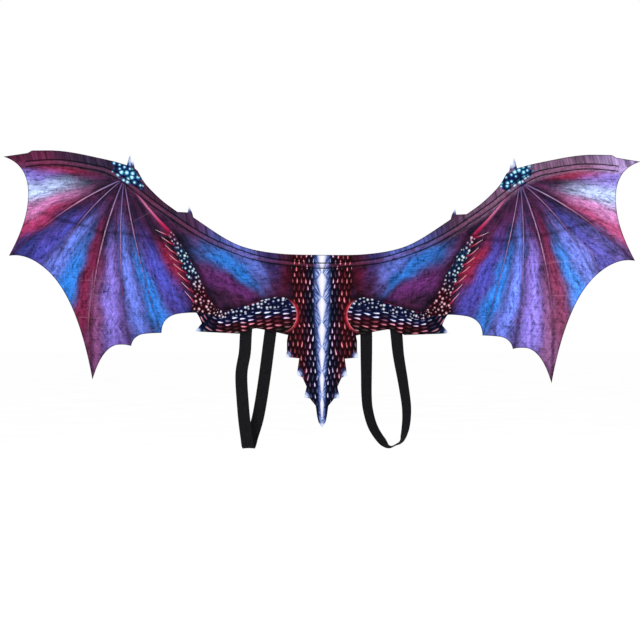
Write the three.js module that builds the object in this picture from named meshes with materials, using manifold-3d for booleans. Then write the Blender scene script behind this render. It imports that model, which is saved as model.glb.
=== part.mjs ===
// Dragon wings: one cloth panel cut to the outline of two spread wings and a tail, stiffened along its
// top edge by a rod in a sewn casing, with two elastic arm loops on its back.
// Millimetres, +Z up. The printed face looks to -Y, and the origin is on the back face at the yoke.
import * as THREE from "three";
import { mergeVertices } from "three/addons/utils/BufferGeometryUtils.js";
import Module from "manifold-3d";

const wasm = await Module();
wasm.setup();

// Driving dimensions of the panel
const span = 1050;
const wingHeight = 380;
const tailDrop = 268;
const tailWidth = 116;
const clothThickness = 1.2;

// Driving dimensions of the rod and its casing
const rodDiameter = 3;
const channelLength = 978;
const rodInset = 13;
const seamSpacing = 8.5;
const casingWidth = 18;
const tapeThickness = 1;

// Driving dimensions of the arm loops
const bandWidth = 20;
const bandThickness = 1.2;
const loopDrop = 302;
const loopWidth = 60;
const loopDepth = 20;
const loopGap = 4.5;

// How the cloth hangs: flat behind the yoke, and askew by this share of the span, lower on its +X side
const flatMargin = 2.5;
const tipBow = 18;
const fluteDepth = 3.5;
const fluteSpacing = 130;
const creaseDepth = 4;
const askew = 0.008;

const clearance = 0.3;

// Mesh steps
const channelColumns = 74;
const tipColumns = 4;
const hangingRows = 18;
const curveSteps = 5;
const rodSides = 8;
const bandSteps = 60;

// The uncut sheet reaches past the cut outline by this factor
const overreach = 1.02;

// Half a length along X over which a slope is measured
const slopeStep = 1;

const halfSpan = span / 2;
const tailHalf = tailWidth / 2;
const channelEnd = channelLength / 2;
const seamHalf = seamSpacing / 2;

// Middle of each arm loop, one gap clear of the tail, and the half width of the flat cloth in front of them
const loopMiddle = tailHalf + loopGap + (loopWidth + bandWidth) / 2;
const flatHalf = loopMiddle + (loopWidth + bandWidth) / 2 + flatMargin;

// Top edge from the centre to the tip. x is a share of the half span, z of the wing height, both from the
// origin. A row with a corner ends one smooth stretch and starts the next.
const topEdge = [
  { x: 0, z: 0.047, corner: true },
  { x: 0.123, z: 0.05 },
  { x: 0.226, z: 0.071 },
  { x: 0.302, z: 0.113 },
  { x: 0.405, z: 0.206, corner: true },
  { x: 0.409, z: 0.226, corner: true },
  { x: 0.419, z: 0.255, corner: true },
  { x: 0.423, z: 0.227, corner: true },
  { x: 0.455, z: 0.229, corner: true },
  { x: 0.505, z: 0.28 },
  { x: 0.555, z: 0.349 },
  { x: 0.58, z: 0.406, corner: true },
  { x: 0.589, z: 0.416, corner: true },
  { x: 0.594, z: 0.452, corner: true },
  { x: 0.5985, z: 0.438, corner: true },
  { x: 0.604, z: 0.479, corner: true },
  { x: 0.614, z: 0.43, corner: true },
  { x: 0.655, z: 0.446 },
  { x: 0.704, z: 0.461 },
  { x: 0.778, z: 0.481 },
  { x: 0.838, z: 0.49 },
  { x: 0.911, z: 0.489, corner: true },
  { x: 0.924, z: 0.478, corner: true },
  { x: 1, z: 0.461, corner: true },
];

// Free edge from the tip back to the tail, each row an arc that is pulled towards pullX, pullZ, in the
// same shares. A row without a pull is straight.
const freeEdge = [
  { x: 0.9225, z: 0.3, pullX: 0.9225, pullZ: 0.43 },
  { x: 0.982, z: 0.031, pullX: 0.9225, pullZ: 0.181 },
  { x: 0.857, z: -0.039, pullX: 0.921, pullZ: 0.047 },
  { x: 0.7215, z: -0.503, pullX: 0.766, pullZ: -0.166 },
  { x: 0.647, z: -0.352, pullX: 0.693, pullZ: -0.368 },
  { x: 0.601, z: -0.356, pullX: 0.621, pullZ: -0.347 },
  { x: 0.565, z: -0.304, pullX: 0.596, pullZ: -0.315 },
  { x: 0.505, z: -0.298, pullX: 0.542, pullZ: -0.299 },
  { x: 0.455, z: -0.215, pullX: 0.505, pullZ: -0.23 },
  { x: 0.396, z: -0.209, pullX: 0.425, pullZ: -0.208 },
  { x: 0.379, z: -0.255, pullX: 0.385, pullZ: -0.228 },
  { x: 0.4, z: -0.29 },
  { x: 0.362, z: -0.293 },
  { x: 0.26, z: -0.299 },
  { x: 0.207, z: -0.275, pullX: 0.231, pullZ: -0.278 },
  { x: 0.107, z: -0.303, pullX: 0.165, pullZ: -0.284 },
];

// Tail from the arm's lower edge to its tip. x is a share of half the tail's width, z of its drop.
const tailEdge = [
  { x: 1, z: -0.463 },
  { x: 1, z: -0.53 },
  { x: 1.04, z: -0.565 },
  { x: 0.65, z: -0.573 },
  { x: 0.68, z: -0.616 },
  { x: 0.72, z: -0.676 },
  { x: 0.56, z: -0.69 },
  { x: 0.44, z: -0.747 },
  { x: 0.51, z: -0.815 },
  { x: 0.35, z: -0.819 },
  { x: 0.18, z: -0.865 },
  { x: 0.14, z: -0.93 },
  { x: 0.1, z: -0.965 },
  { x: 0, z: -1 },
];

// Centre line of the rod channel, in the top edge's shares. The last row lies past the tip.
const channelLine = [
  { x: 0, z: 0 },
  { x: 0.098, z: 0.009 },
  { x: 0.203, z: 0.031 },
  { x: 0.315, z: 0.084 },
  { x: 0.396, z: 0.14 },
  { x: 0.476, z: 0.213 },
  { x: 0.536, z: 0.271 },
  { x: 0.612, z: 0.354 },
  { x: 0.659, z: 0.394 },
  { x: 0.698, z: 0.413 },
  { x: 0.822, z: 0.439 },
  { x: 0.932, z: 0.43 },
  { x: 1.03, z: 0.41 },
];

// Soft creases on each wing: the middle in the top edge's shares, the lean in degrees from level, the
// reach and width as shares of the half span, and the depth as a share of the crease depth.
const creases = [
  { x: 0.8, z: 0.14, lean: 14, reach: 0.16, width: 0.035, depth: 1 },
  { x: 0.55, z: 0.07, lean: -4, reach: 0.16, width: 0.035, depth: 0.7 },
  { x: 0.72, z: -0.25, lean: 86, reach: 0.14, width: 0.03, depth: 0.8 },
  { x: 0.9, z: 0.33, lean: 40, reach: 0.1, width: 0.04, depth: -0.7 },
];

// Route of each arm loop. x is a share of the loop's width from its middle, z of its drop, y of its
// depth from the back of the panel, and turn is the band's turn about Z in degrees.
const foldedRoute = [
  { x: -0.34, z: -0.24, y: 0, turn: 0 },
  { x: -0.39, z: -0.373, y: 0, turn: 0 },
  { x: -0.42, z: -0.476, y: -0.08, turn: 0 },
  { x: -0.51, z: -0.589, y: -0.22, turn: 0 },
  { x: -0.47, z: -0.759, y: -0.36, turn: 0 },
  { x: -0.43, z: -0.848, y: -0.4, turn: 0 },
  { x: -0.37, z: -0.94, y: -0.42, turn: 0 },
  { x: -0.34, z: -0.985, y: -0.26, turn: 0 },
  { x: -0.31, z: -0.998, y: 0.02, turn: 0 },
  { x: -0.28, z: -0.985, y: 0.3, turn: 0 },
  { x: -0.22, z: -0.94, y: 0.44, turn: 0 },
  { x: -0.08, z: -0.848, y: 0.4, turn: 0 },
  { x: 0.01, z: -0.759, y: 0.36, turn: 0 },
  { x: 0.14, z: -0.589, y: 0.22, turn: 0 },
  { x: 0.215, z: -0.476, y: 0.08, turn: 0 },
  { x: 0.29, z: -0.36, y: 0, turn: 0 },
  { x: 0.4, z: -0.2, y: 0, turn: 0 },
];
const roundRoute = [
  { x: -0.52, z: -0.2, y: 0, turn: 0 },
  { x: -0.49, z: -0.367, y: 0, turn: 6 },
  { x: -0.485, z: -0.589, y: -0.1, turn: 25 },
  { x: -0.48, z: -0.711, y: -0.25, turn: 31 },
  { x: -0.445, z: -0.785, y: -0.35, turn: 34 },
  { x: -0.3, z: -0.884, y: -0.4, turn: 37 },
  { x: -0.02, z: -0.965, y: -0.3, turn: 44 },
  { x: 0.18, z: -0.988, y: -0.12, turn: 62 },
  { x: 0.37, z: -0.976, y: 0.12, turn: 80 },
  { x: 0.5, z: -0.951, y: 0.34, turn: 64 },
  { x: 0.6, z: -0.886, y: 0.52, turn: 48 },
  { x: 0.63, z: -0.787, y: 0.55, turn: 40 },
  { x: 0.545, z: -0.656, y: 0.42, turn: 34 },
  { x: 0.4, z: -0.487, y: 0.18, turn: 22 },
  { x: 0.34, z: -0.367, y: 0, turn: 6 },
  { x: 0.24, z: -0.2, y: 0, turn: 0 },
];

// Smooth curve z(x) through the rows of a table, level at the first.
function smoothCurve(rows) {
  const last = rows.length - 1;
  const slopes = rows.map((row, i) => {
    const before = rows[Math.max(i - 1, 0)];
    const after = rows[Math.min(i + 1, last)];
    return i === 0 ? 0 : (after.z - before.z) / (after.x - before.x);
  });
  return (x) => {
    const next = rows.findIndex((row) => row.x > x);
    const i = (next === -1 ? last : next) - 1;
    const width = rows[i + 1].x - rows[i].x;
    const t = (x - rows[i].x) / width;
    const ease = t * t * (3 - 2 * t);
    const leave = t * (1 - t) * (1 - t) * width * slopes[i];
    const arrive = t * t * (1 - t) * width * slopes[i + 1];
    return rows[i].z + (rows[i + 1].z - rows[i].z) * ease + leave - arrive;
  };
}

const channelShare = smoothCurve(channelLine);

// Height of the channel's centre line, and how much its slope stretches an upright section through it.
function channelZ(x) {
  return wingHeight * channelShare(Math.abs(x) / halfSpan);
}

function channelSlope(x) {
  return (channelZ(x + slopeStep) - channelZ(x - slopeStep)) / (2 * slopeStep);
}

function channelLean(x) {
  return Math.hypot(1, channelSlope(x));
}

// Columns of the panel: an even step inside the channel, and another between its ends and the tips.
const columns = channelColumns + 2 * tipColumns;

function columnX(i) {
  const inner = (channelLength * (i - tipColumns)) / channelColumns - channelEnd;
  const outer = (overreach * halfSpan - channelEnd) / tipColumns;
  if (i < tipColumns) return -channelEnd - (tipColumns - i) * outer;
  if (i > columns - tipColumns) return channelEnd + (i - columns + tipColumns) * outer;
  return inner;
}

// Bow of the whole panel towards the printed side, growing from the flat middle to the tips.
function bow(x) {
  const share = Math.max(0, Math.abs(x) - flatHalf) / (halfSpan - flatHalf);
  return -tipBow * share * share;
}

// Flutes and creases of the cloth. They fade out at the channel and over the flat middle.
function relief(x, z) {
  const out = Math.abs(x);
  const below = channelZ(x) - z;
  const fade =
    THREE.MathUtils.smoothstep(below, casingWidth, casingWidth + fluteSpacing) *
    THREE.MathUtils.smoothstep(out, flatHalf, flatHalf + fluteSpacing);
  const flute = fluteDepth * Math.sin((2 * Math.PI * (out - flatHalf)) / fluteSpacing);
  const crease = creases.reduce((sum, row) => {
    const lean = THREE.MathUtils.degToRad(row.lean);
    const dx = out - row.x * halfSpan;
    const dz = z - row.z * wingHeight;
    const along = (dx * Math.cos(lean) + dz * Math.sin(lean)) / (row.reach * halfSpan);
    const across = (dz * Math.cos(lean) - dx * Math.sin(lean)) / (row.width * halfSpan);
    return sum + row.depth * Math.exp(-across * across - along * along);
  }, 0);
  return fade * (flute + creaseDepth * crease);
}

// The ridge over the rod: the half width of its flat top and its height.
const rodRoom = rodDiameter / 2 + clearance;
const ridgeTop = rodRoom * Math.SQRT1_2;
const ridgeHeight = rodRoom - clearance / 2;

// Distances from the channel's centre line at which the panel has its rows, next to and below it.
const nearRows = [casingWidth / 2, seamHalf, ridgeTop, -ridgeTop, -seamHalf, -casingWidth / 2];
const rows = nearRows.length + hangingRows;

// Heights that the rows reach at each column, past the top edge, the wing points and the tail.
function topZ(x) {
  const highest = overreach * wingHeight * Math.max(...topEdge.map((row) => row.z));
  return Math.max(highest, channelZ(x) + casingWidth * channelLean(x));
}

function bottomZ(x) {
  const wings = overreach * wingHeight * Math.min(...freeEdge.map((row) => row.z));
  const tail = Math.min(-overreach * tailDrop, wings);
  return THREE.MathUtils.lerp(tail, wings, THREE.MathUtils.smoothstep(Math.abs(x), tailHalf, loopMiddle));
}

function rowZ(row, x) {
  if (row === 0) return topZ(x);
  const near = Math.min(row, nearRows.length);
  const z = channelZ(x) + nearRows[near - 1] * channelLean(x);
  return THREE.MathUtils.lerp(z, bottomZ(x), (row - near) / hangingRows);
}

// Y of the panel's back face at a row and column. The ridge stops one column past the channel's ends.
function backFace(row, x, z) {
  const inRidge = Math.abs(nearRows[row - 1]) === ridgeTop && Math.abs(x) <= channelEnd + clearance;
  const ridge = inRidge ? ridgeHeight : 0;
  return bow(x) + relief(x, z) - ridge;
}

// Every sewn piece hangs askew by the same small upright shear.
const hang = new THREE.Matrix4().set(1, 0, 0, 0, 0, 1, 0, 0, -askew, 0, 1, 0, 0, 0, 0, 1);

function toSolid(geometry) {
  geometry.deleteAttribute("normal");
  geometry.deleteAttribute("uv");
  const merged = mergeVertices(geometry);
  return new wasm.Manifold(
    new wasm.Mesh({
      numProp: 3,
      vertProperties: new Float32Array(merged.attributes.position.array),
      triVerts: new Uint32Array(merged.index.array),
    }),
  );
}

function toGeometry(solid) {
  const mesh = solid.getMesh();
  const geometry = new THREE.BufferGeometry();
  geometry.setAttribute("position", new THREE.BufferAttribute(mesh.vertProperties, 3));
  geometry.setIndex(new THREE.BufferAttribute(mesh.triVerts, 1));
  geometry.computeVertexNormals();
  return geometry;
}

// Closed body through a row of rings, each of which places the points of one flat section. The section
// lists one face and then the other, and both faces are split the same way so that a twist stays thick.
function loft(section, rings) {
  const sides = section.length;
  const last = (rings.length - 1) * sides;
  const corners = section.map(([across, out]) => new THREE.Vector2(across, out));
  const caps = THREE.ShapeUtils.triangulateShape(corners, []);
  const triangles = caps.flatMap(([a, b, c]) => [a, b, c, last + a, last + c, last + b]);
  for (let start = 0; start < last; start += sides) {
    for (let j = 0; j < sides; j++) {
      const a = start + j;
      const b = start + ((j + 1) % sides);
      if (j < sides / 2) triangles.push(a, b, a + sides, b, b + sides, a + sides);
      else triangles.push(a, b, b + sides, a, b + sides, a + sides);
    }
  }
  const geometry = new THREE.BufferGeometry().setFromPoints(rings.flat());
  geometry.setIndex(triangles);
  geometry.computeVertexNormals();
  return geometry;
}

// Half outline from the top of the yoke, out to the tip and back to the tail's tip.
function halfOutline() {
  const at = (x, z) => new THREE.Vector2(x * halfSpan, z * wingHeight);
  const path = new THREE.Path([at(topEdge[0].x, topEdge[0].z)]);
  let stretch = [];
  for (const row of topEdge.slice(1)) {
    stretch.push(at(row.x, row.z));
    if (row.corner) {
      path.splineThru(stretch);
      stretch = [];
    }
  }
  for (const row of freeEdge) {
    const end = at(row.x, row.z);
    if (row.pullX === undefined) path.lineTo(end.x, end.y);
    else {
      const pull = at(row.pullX, row.pullZ);
      path.quadraticCurveTo(pull.x, pull.y, end.x, end.y);
    }
  }
  for (const row of tailEdge) path.lineTo(row.x * tailHalf, row.z * tailDrop);
  return path.getPoints(curveSteps);
}

function wingPanel() {
  const slab = new THREE.BoxGeometry(1, 1, 1, columns, 1, rows);
  const place = slab.attributes.position;
  for (let i = 0; i < place.count; i++) {
    const x = columnX(Math.round((place.getX(i) + 0.5) * columns));
    const row = Math.round((0.5 - place.getZ(i)) * rows);
    const z = rowZ(row, x);
    const front = place.getY(i) < 0 ? clothThickness : 0;
    place.setXYZ(i, x, backFace(row, x, z) - front, z);
  }
  const half = halfOutline();
  const mirrored = half.slice(1, -1).map((point) => new THREE.Vector2(-point.x, point.y));
  const outline = new THREE.Shape(half.concat(mirrored.reverse()));
  const cutDepth = 4 * (tipBow + creaseDepth + fluteDepth + clothThickness);
  const cutter = new THREE.ExtrudeGeometry(outline, { depth: cutDepth, bevelEnabled: false });
  cutter.rotateX(Math.PI / 2).translate(0, cutDepth / 2, 0);
  return toGeometry(toSolid(slab).intersect(toSolid(cutter))).applyMatrix4(hang);
}

// Sweeps a section of points (across, out) along the channel between two columns. Each ring stands
// upright, stretched by the channel's lean, so that the swept piece keeps its true width.
function alongChannel(section, first, last) {
  const rings = [];
  for (let i = first; i <= last; i++) {
    const x = columnX(i);
    const lean = channelLean(x);
    rings.push(
      section.map(([across, out]) => {
        return new THREE.Vector3(x, bow(x) + out, channelZ(x) + across * lean);
      }),
    );
  }
  return loft(section, rings).applyMatrix4(hang);
}

function rodCasing() {
  const flange = clearance + tapeThickness;
  const inner = ridgeHeight + clearance;
  const bend = tapeThickness / 2;
  const edge = casingWidth / 2;
  const section = [
    [-edge, clearance],
    [-edge, flange],
    [-seamHalf - bend, flange],
    [-ridgeTop - bend, inner + tapeThickness],
    [ridgeTop + bend, inner + tapeThickness],
    [seamHalf + bend, flange],
    [edge, flange],
    [edge, clearance],
    [seamHalf, clearance],
    [ridgeTop, inner],
    [-ridgeTop, inner],
    [-seamHalf, clearance],
  ];
  return alongChannel(section, tipColumns, columns - tipColumns);
}

function stiffeningRod() {
  const radius = rodDiameter / 2;
  const section = Array.from({ length: rodSides }, (_, i) => {
    const angle = (2 * Math.PI * (i + 0.5)) / rodSides;
    return [-Math.cos(angle) * radius, clearance / 2 + Math.sin(angle) * radius];
  });
  const inset = Math.max(1, Math.round((rodInset * channelColumns) / channelLength));
  return alongChannel(section, tipColumns + inset, columns - tipColumns - inset);
}

// Where a band is sewn on, just below the ridge of the casing, and the slope that its end is cut to.
const bandBack = 2 * clearance + tapeThickness + bandThickness / 2;

function sewnEnd(x) {
  const z = channelZ(x) - (seamHalf + tapeThickness) * channelLean(x) - askew * x;
  return { point: new THREE.Vector3(x, bandBack, z), slope: channelSlope(x) - askew };
}

// Turn of the band at a share of its route, between the turns of the rows on either side.
function turnAt(turns, share) {
  const spot = share * (turns.length - 1);
  const before = Math.min(Math.floor(spot), turns.length - 2);
  return THREE.MathUtils.degToRad(THREE.MathUtils.lerp(turns[before], turns[before + 1], spot - before));
}

// Flat band along a smooth route. Both ends are cut to the lean of the channel and lie on the casing.
function armLoop(route, middleX) {
  const section = [
    [-bandWidth / 2, -bandThickness / 2],
    [-bandWidth / 2, bandThickness / 2],
    [bandWidth / 2, bandThickness / 2],
    [bandWidth / 2, -bandThickness / 2],
  ];
  const points = route.map((row) => {
    const x = middleX + row.x * loopWidth;
    return new THREE.Vector3(x, bandBack + row.y * loopDepth, row.z * loopDrop);
  });
  const first = sewnEnd(points[0].x);
  const last = sewnEnd(points[points.length - 1].x);
  const curve = new THREE.CatmullRomCurve3([first.point, ...points, last.point]);
  const turns = [0, ...route.map((row) => row.turn), 0];
  const rings = [];
  for (let i = 0; i <= bandSteps; i++) {
    const share = i / bandSteps;
    const centre = curve.getPoint(share);
    const along = curve.getTangent(share);
    const turn = turnAt(turns, share);
    const side = new THREE.Vector3(Math.cos(turn), Math.sin(turn), 0).projectOnPlane(along).normalize();
    if (i === 0) side.set(1, 0, first.slope);
    if (i === bandSteps) side.set(1, 0, last.slope);
    const out = side.clone().cross(along).normalize();
    rings.push(
      section.map(([across, through]) => {
        return centre.clone().addScaledVector(side, across).addScaledVector(out, through);
      }),
    );
  }
  return loft(section, rings);
}

function piece(name, geometry, colour, roughness) {
  const material = new THREE.MeshStandardMaterial({ color: colour, roughness, metalness: 0 });
  const mesh = new THREE.Mesh(geometry, material);
  mesh.name = name;
  return mesh;
}

const wings = new THREE.Group();
wings.add(
  piece("wing_panel", wingPanel(), 0x4a2350, 0.75),
  piece("rod_casing", rodCasing(), 0x17141a, 0.85),
  piece("stiffening_rod", stiffeningRod(), 0x2a2a2c, 0.45),
  piece("arm_loop_left", armLoop(foldedRoute, -loopMiddle), 0x141315, 0.8),
  piece("arm_loop_right", armLoop(roundRoute, loopMiddle), 0x141315, 0.8),
);

export default wings;
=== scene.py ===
import math
from functools import partialmethod
from types import SimpleNamespace

import bpy
import numpy as np
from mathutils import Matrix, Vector
from mathutils.geometry import delaunay_2d_cdt
from mathutils.kdtree import KDTree


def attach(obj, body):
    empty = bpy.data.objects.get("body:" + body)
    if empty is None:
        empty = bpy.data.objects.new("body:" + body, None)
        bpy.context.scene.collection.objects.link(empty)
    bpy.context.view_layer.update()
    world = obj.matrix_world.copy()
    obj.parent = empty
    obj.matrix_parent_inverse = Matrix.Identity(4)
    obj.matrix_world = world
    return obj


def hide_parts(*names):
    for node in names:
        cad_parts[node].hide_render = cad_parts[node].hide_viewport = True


# Dragon wings: one printed cloth panel with a rod channel along its top edge and two elastic arm loops.
# Everything is worked out in millimetres and scaled to metres where a mesh is made.
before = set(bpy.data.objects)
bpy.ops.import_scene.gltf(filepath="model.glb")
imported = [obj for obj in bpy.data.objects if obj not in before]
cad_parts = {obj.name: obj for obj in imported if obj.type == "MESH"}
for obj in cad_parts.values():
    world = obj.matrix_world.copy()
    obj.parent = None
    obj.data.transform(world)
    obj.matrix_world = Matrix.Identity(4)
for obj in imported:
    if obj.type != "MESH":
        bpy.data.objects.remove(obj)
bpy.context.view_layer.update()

MM = 0.001

# Sizes of the CAD part, in millimetres
HALF_SPAN = 525.0
WING_HEIGHT = 380.0
TAIL_HALF = 58.0
TAIL_DROP = 268.0
CLOTH = 1.2
ROD_DIAMETER = 3.0
CHANNEL_END = 489.0
SEAM_HALF = 4.25
CASING_WIDTH = 18.0
TAPE = 1.0
BAND_WIDTH = 20.0
BAND_THICKNESS = 1.2
LOOP_DROP = 302.0
LOOP_WIDTH = 60.0
LOOP_DEPTH = 20.0
LOOP_GAP = 4.5
FLAT_MARGIN = 2.5
TIP_BOW = 18.0
FLUTE_DEPTH = 3.5
FLUTE_SPACING = 130.0
CREASE_DEPTH = 4.0
ASKEW = 0.008
CLEARANCE = 0.3

LOOP_MIDDLE = TAIL_HALF + LOOP_GAP + (LOOP_WIDTH + BAND_WIDTH) / 2
FLAT_HALF = LOOP_MIDDLE + (LOOP_WIDTH + BAND_WIDTH) / 2 + FLAT_MARGIN
RIDGE_HEIGHT = ROD_DIAMETER / 2 + CLEARANCE / 2
RIDGE_INSIDE = RIDGE_HEIGHT + CLEARANCE

# Stretches of the top edge between its corners, as shares of the half span and the wing height
TOP_START = (0, 0.047)
TOP_EDGE = [
    [(0.123, 0.05), (0.226, 0.071), (0.302, 0.113), (0.405, 0.206)],
    [(0.409, 0.226)],
    [(0.419, 0.255)],
    [(0.423, 0.227)],
    [(0.455, 0.229)],
    [(0.505, 0.28), (0.555, 0.349), (0.58, 0.406)],
    [(0.589, 0.416)],
    [(0.594, 0.452)],
    [(0.5985, 0.438)],
    [(0.604, 0.479)],
    [(0.614, 0.43)],
    [(0.655, 0.446), (0.704, 0.461), (0.778, 0.481), (0.838, 0.49), (0.911, 0.489)],
    [(0.924, 0.478)],
    [(1, 0.461)],
]

# Free edge from the tip to the tail: an end, and the point that its arc is pulled to
FREE_EDGE = [
    ((0.9225, 0.3), (0.9225, 0.43)),
    ((0.982, 0.031), (0.9225, 0.181)),
    ((0.857, -0.039), (0.921, 0.047)),
    ((0.7215, -0.503), (0.766, -0.166)),
    ((0.647, -0.352), (0.693, -0.368)),
    ((0.601, -0.356), (0.621, -0.347)),
    ((0.565, -0.304), (0.596, -0.315)),
    ((0.505, -0.298), (0.542, -0.299)),
    ((0.455, -0.215), (0.505, -0.23)),
    ((0.396, -0.209), (0.425, -0.208)),
    ((0.379, -0.255), (0.385, -0.228)),
    ((0.4, -0.29), None),
    ((0.362, -0.293), None),
    ((0.26, -0.299), None),
    ((0.207, -0.275), (0.231, -0.278)),
    ((0.107, -0.303), (0.165, -0.284)),
]

# Tail edge, as shares of half its width and of its drop
TAIL_EDGE = [
    (1, -0.463), (1, -0.53), (1.04, -0.565), (0.65, -0.573), (0.68, -0.616), (0.72, -0.676), (0.56, -0.69),
    (0.44, -0.747), (0.51, -0.815), (0.35, -0.819), (0.18, -0.865), (0.14, -0.93), (0.1, -0.965), (0, -1),
]

# Centre line of the rod channel, in the top edge's shares
CHANNEL_LINE = [
    (0, 0), (0.098, 0.009), (0.203, 0.031), (0.315, 0.084), (0.396, 0.14), (0.476, 0.213), (0.536, 0.271),
    (0.612, 0.354), (0.659, 0.394), (0.698, 0.413), (0.822, 0.439), (0.932, 0.43), (1.03, 0.41),
]

# Soft creases: middle, lean in degrees, reach and width as shares of the half span, share of the depth
CREASES = [
    (0.8, 0.14, 14, 0.16, 0.035, 1),
    (0.55, 0.07, -4, 0.16, 0.035, 0.7),
    (0.72, -0.25, 86, 0.14, 0.03, 0.8),
    (0.9, 0.33, 40, 0.1, 0.04, -0.7),
]

# Routes of the arm loops: x, z and y as shares of the loop's width, drop and depth, and the turn about Z
FOLDED_ROUTE = [
    (-0.34, -0.24, 0, 0), (-0.39, -0.373, 0, 0), (-0.42, -0.476, -0.08, 0), (-0.51, -0.589, -0.22, 0),
    (-0.47, -0.759, -0.36, 0), (-0.43, -0.848, -0.4, 0), (-0.37, -0.94, -0.42, 0), (-0.34, -0.985, -0.26, 0),
    (-0.31, -0.998, 0.02, 0), (-0.28, -0.985, 0.3, 0), (-0.22, -0.94, 0.44, 0), (-0.08, -0.848, 0.4, 0),
    (0.01, -0.759, 0.36, 0), (0.14, -0.589, 0.22, 0), (0.215, -0.476, 0.08, 0), (0.29, -0.36, 0, 0),
    (0.4, -0.2, 0, 0),
]
ROUND_ROUTE = [
    (-0.52, -0.2, 0, 0), (-0.49, -0.367, 0, 6), (-0.485, -0.589, -0.1, 25), (-0.48, -0.711, -0.25, 31),
    (-0.445, -0.785, -0.35, 34), (-0.3, -0.884, -0.4, 37), (-0.02, -0.965, -0.3, 44),
    (0.18, -0.988, -0.12, 62), (0.37, -0.976, 0.12, 80), (0.5, -0.951, 0.34, 64), (0.6, -0.886, 0.52, 48),
    (0.63, -0.787, 0.55, 40), (0.545, -0.656, 0.42, 34), (0.4, -0.487, 0.18, 22), (0.34, -0.367, 0, 6),
    (0.24, -0.2, 0, 0),
]


def smoothstep(value, low, high):
    share = np.clip((value - low) / (high - low), 0, 1)
    return share * share * (3 - 2 * share)


def noise(x, y, seed):
    """Smooth noise from -1 to 1 over a unit lattice."""
    size = 64
    table = np.random.default_rng(seed).uniform(-1, 1, (size, size))
    left, low = np.floor(x).astype(int), np.floor(y).astype(int)
    across, up = smoothstep(x - left, 0, 1), smoothstep(y - low, 0, 1)
    lower = table[left % size, low % size] * (1 - across) + table[(left + 1) % size, low % size] * across
    upper = (
        table[left % size, (low + 1) % size] * (1 - across)
        + table[(left + 1) % size, (low + 1) % size] * across
    )
    return lower * (1 - up) + upper * up


def channel_share(share):
    """The channel's smooth curve, level at the middle."""
    xs, zs = np.array(CHANNEL_LINE).T
    last = len(xs) - 1
    before, after = np.maximum(np.arange(last + 1) - 1, 0), np.minimum(np.arange(last + 1) + 1, last)
    slopes = (zs[after] - zs[before]) / (xs[after] - xs[before])
    slopes[0] = 0
    i = np.clip(np.searchsorted(xs, share, side="right") - 1, 0, last - 1)
    width = xs[i + 1] - xs[i]
    t = (share - xs[i]) / width
    ease = t * t * (3 - 2 * t)
    leave = t * (1 - t) * (1 - t) * width * slopes[i]
    arrive = t * t * (1 - t) * width * slopes[i + 1]
    return zs[i] + (zs[i + 1] - zs[i]) * ease + leave - arrive


def channel_z(x):
    return WING_HEIGHT * channel_share(np.abs(x) / HALF_SPAN)


def channel_slope(x):
    return (channel_z(x + 1) - channel_z(x - 1)) / 2


def channel_lean(x):
    return np.hypot(1, channel_slope(x))


def bow(x):
    share = np.maximum(0, np.abs(x) - FLAT_HALF) / (HALF_SPAN - FLAT_HALF)
    return -TIP_BOW * share * share


def relief(x, z):
    """Flutes and creases of the CAD panel."""
    out = np.abs(x)
    fade = smoothstep(channel_z(x) - z, CASING_WIDTH, CASING_WIDTH + FLUTE_SPACING)
    fade = fade * smoothstep(out, FLAT_HALF, FLAT_HALF + FLUTE_SPACING)
    flute = FLUTE_DEPTH * np.sin(2 * math.pi * (out - FLAT_HALF) / FLUTE_SPACING)
    crease = 0
    for x0, z0, lean, reach, width, depth in CREASES:
        lean = math.radians(lean)
        dx, dz = out - x0 * HALF_SPAN, z - z0 * WING_HEIGHT
        along = (dx * math.cos(lean) + dz * math.sin(lean)) / (reach * HALF_SPAN)
        across = (dz * math.cos(lean) - dx * math.sin(lean)) / (width * HALF_SPAN)
        crease = crease + depth * np.exp(-across * across - along * along)
    return fade * (flute + CREASE_DEPTH * crease)


# Length along the channel from its middle, for every half millimetre of x
ARC_X = np.arange(-HALF_SPAN * 1.02, HALF_SPAN * 1.02, 0.5)
ARC = np.cumsum(channel_lean(ARC_X)) * 0.5
ARC -= np.interp(0, ARC_X, ARC)

# Fine sharp creases that cross the cloth: x, z, lean in degrees, reach, width and depth
FINE_CREASES = [
    (-371, -28, 4, 34, 1.8, 0.5),
    (-366, -53, -3, 30, 1.6, 0.5),
    (-384, -89, 7, 26, 1.8, 0.45),
    (-362, -107, -5, 24, 1.5, 0.4),
    (-382, -60, 88, 60, 2.2, 0.6),
    (380, -46, 5, 34, 1.8, 0.45),
    (352, -84, -6, 30, 1.7, 0.45),
    (402, 10, 12, 42, 2.0, 0.5),
]
for spot in np.random.default_rng(11).uniform(0, 1, (34, 5)):
    FINE_CREASES.append(
        (
            (1 if spot[0] > 0.5 else -1) * (150 + 340 * spot[1]),
            -120 + 250 * spot[2],
            -35 + 80 * spot[3],
            14 + 34 * spot[4],
            1.6 + spot[0],
            0.16 + 0.26 * spot[3],
        )
    )


def across_channel(x, z):
    return (z - channel_z(x)) / channel_lean(x)


def crease_places(x, z, crease):
    """How far along a fine crease a point lies, in half lengths, and how far off it, in widths."""
    x0, z0, lean, length, width, _ = crease
    lean = math.radians(lean)
    dx, dz = x - x0, z - z0
    run = (dx * math.cos(lean) + dz * math.sin(lean)) / length
    off = dz * math.cos(lean) - dx * math.sin(lean) + 2.2 * np.sin(run * 2.3)
    return run, off / width


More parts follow.
